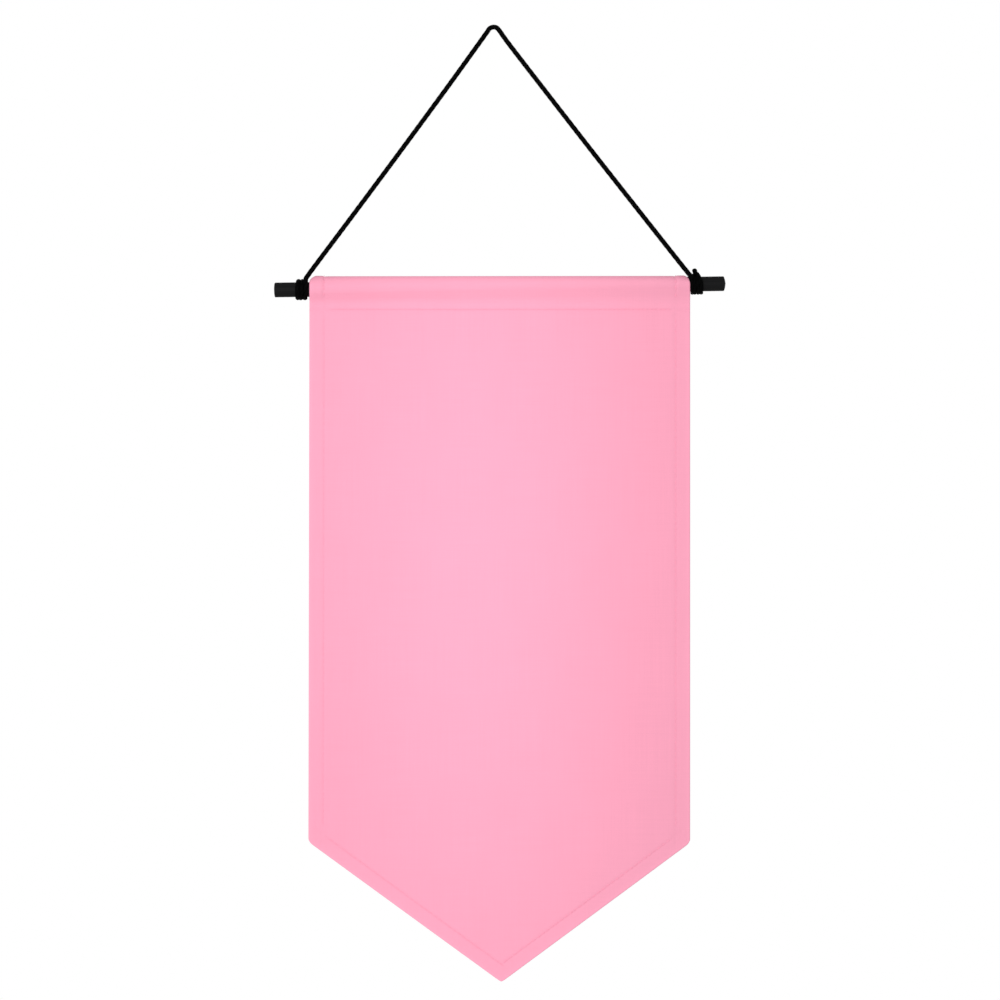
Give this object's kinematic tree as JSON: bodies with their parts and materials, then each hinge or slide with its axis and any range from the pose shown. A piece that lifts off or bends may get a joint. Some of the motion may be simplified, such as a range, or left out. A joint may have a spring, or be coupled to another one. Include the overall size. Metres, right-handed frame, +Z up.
{
  "type": "pin display pennant on a dowel",
  "caption": "Five-sided hanging cloth with a pointed foot, hemmed edges and a sewn casing, on a round dowel hung from a twisted cord.",
  "frame": {"origin": "hanging point, where a hook or peg carries the cord's bend from below", "axes": "+Z up, front of the cloth towards -Y, viewer's right at +X; the dowel lies along X, tilted 0.8 degrees up to the right"},
  "size_m": [0.2431, 0.012, 0.5152],
  "materials": {
    "pink_cloth": "fine plain weave, matte",
    "black_wood": "painted black, satin",
    "black_cord": "three strands twisted, slight sheen"
  },
  "bodies": {
    "root": {"pennant_cloth": "pink_cloth", "dowel": "black_wood", "hanging_cord": "black_cord", "cord_wrap_left": "black_cord", "cord_wrap_right": "black_cord", "cord_free_end": "black_cord"}
  },
  "joints": []
}
